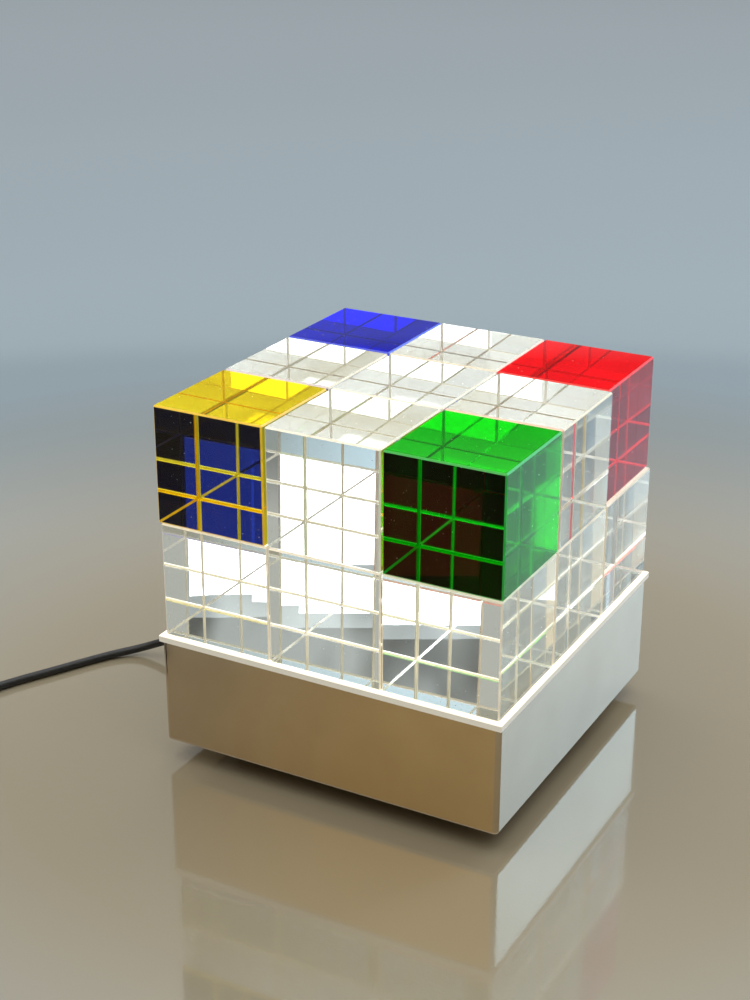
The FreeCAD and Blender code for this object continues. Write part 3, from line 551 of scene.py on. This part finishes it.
# panes behind the lamp and the left box are seen through the cubes, the high box only lights
# what is matt; round is in degrees from +Y towards +X, rise in degrees up
softboxes = {
    "widePane": {"round": 27.25, "rise": 16.9, "distance": 5.0, "size": (0.56, 1.48), "radiance": 5.6,
                 "colour": (0.93, 0.97, 1.0), "hiddenFrom": ["glossy", "camera"]},
    "slimPane": {"round": 32.15, "rise": 16.7, "distance": 5.0, "size": (0.25, 1.45), "radiance": 5.6,
                 "colour": (0.93, 0.97, 1.0), "hiddenFrom": ["glossy", "camera"]},
    "haloPane": {"round": 28.9, "rise": 16.9, "distance": 5.2, "size": (0.98, 1.66), "radiance": 0.38,
                 "colour": (0.88, 0.95, 1.0), "hiddenFrom": ["glossy", "camera"]},
    "highBox": {"round": 21.2, "rise": 30.7, "distance": 5.0, "size": (1.66, 1.2), "radiance": 3.7,
                "colour": (0.57, 0.80, 1.0), "hiddenFrom": ["glossy", "transmission", "camera"]},
    "leftBox": {"round": -160.5, "rise": 22.0, "distance": 5.0, "size": (1.0, 0.9), "radiance": 0.6,
                "colour": (1.0, 0.98, 0.92), "hiddenFrom": ["glossy", "camera"]},
}


def roomWay(tree):
    return addNode(tree, "TexCoord").outputs["Generated"]


def along(tree, way):
    facing = addNode(tree, "VectorMath", {"operation": "DOT_PRODUCT"})
    join(tree, roomWay(tree), facing.inputs[0])
    facing.inputs[1].default_value = way
    return facing.outputs["Value"]


def cornerBands(tree):
    stretch = addNode(tree, "Mapping", Scale=studio["bandStretch"])
    join(tree, roomWay(tree), stretch.inputs["Vector"])
    bands = addNode(tree, "TexNoise", Scale=studio["bandScale"], Detail=2)
    join(tree, stretch.outputs["Vector"], bands.inputs["Vector"])
    banded = addNode(tree, "VectorMath", {"operation": "SCALE"})
    banded.inputs[0].default_value = studio["corner"]
    join(tree, ranged(tree, bands.outputs["Fac"], *studio["bands"], 0.4, 0.6), banded.inputs["Scale"])
    return banded.outputs["Vector"]


def addWorld():
    world = bpy.data.worlds.new("studio")
    world.use_nodes = True
    scene.world = world
    tree = world.node_tree
    tree.nodes.clear()
    output = tree.nodes.new("ShaderNodeOutputWorld")
    height = addNode(tree, "SeparateXYZ")
    join(tree, roomWay(tree), height.inputs[0])
    rising, rightward = height.outputs["Z"], height.outputs["X"]
    lowShare = ranged(tree, rising, 0, 1, *studio["lowRange"])
    lower = mixed(tree, lowShare, studio["horizon"], studio["behindLow"])
    cornerShare = ranged(tree, rightward, 0, 1, *studio["cornerRange"])
    upper = mixed(tree, cornerShare, studio["behindHigh"], cornerBands(tree))
    behind = mixed(tree, ranged(tree, rising, 0, 1, *studio["highRange"]), lower, upper)
    awayShare = ranged(tree, along(tree, studio["away"]), 0, 1, *studio["awayRange"])
    walls = mixed(tree, awayShare, studio["front"], behind)
    ceiling = mixed(tree, ranged(tree, rising, 0, 1, *studio["aboveRange"]), walls, studio["above"])
    warmShare = ranged(tree, along(tree, studio["warmWay"]), 0, 1, *studio["warmRange"])
    room = mixed(tree, warmShare, ceiling, studio["warm"])
    seen = addNode(tree, "LightPath")
    mirrored = product(tree, seen.outputs["Is Glossy Ray"], seen.outputs["Is Reflection Ray"])
    skyShare = ranged(tree, along(tree, studio["skyWay"]), 0, 1, *studio["skyRange"])
    room = mixed(tree, product(tree, skyShare, mirrored), room, studio["sky"])
    light = addNode(tree, "Background")
    join(tree, mixed(tree, seen.outputs["Is Camera Ray"], room, studio["backdrop"]), light.inputs["Color"])
    join(tree, light.outputs[0], output.inputs["Surface"])


def addSoftbox(name):
    box = softboxes[name]
    data = bpy.data.lights.new(name, "AREA")
    data.shape, (data.size, data.size_y) = "RECTANGLE", box["size"]
    width, tall = box["size"]
    data.energy = box["radiance"] * math.pi * width * tall
    data.color = box["colour"]
    lamp = bpy.data.objects.new(name, data)
    turn, rise = math.radians(box["round"]), math.radians(box["rise"])
    way = Vector((math.sin(turn) * math.cos(rise), math.cos(turn) * math.cos(rise), math.sin(rise)))
    middle = Vector((0, 0, 0.2))
    position = middle + way * box["distance"]
    aim = (-way).to_track_quat("-Z", "Y").to_matrix().to_4x4()
    lamp.matrix_world = Matrix.Translation(position) @ aim
    for rays in box["hiddenFrom"]:
        setattr(lamp, "visible_" + rays, False)
    scene.collection.objects.link(lamp)


addFloor()
addWorld()
for name in softboxes:
    addSoftbox(name)
scene.view_settings.view_transform = "Standard"
scene.cycles.max_bounces = 32
scene.cycles.transmission_bounces = 32
scene.cycles.glossy_bounces = 24
print("floor and light set")
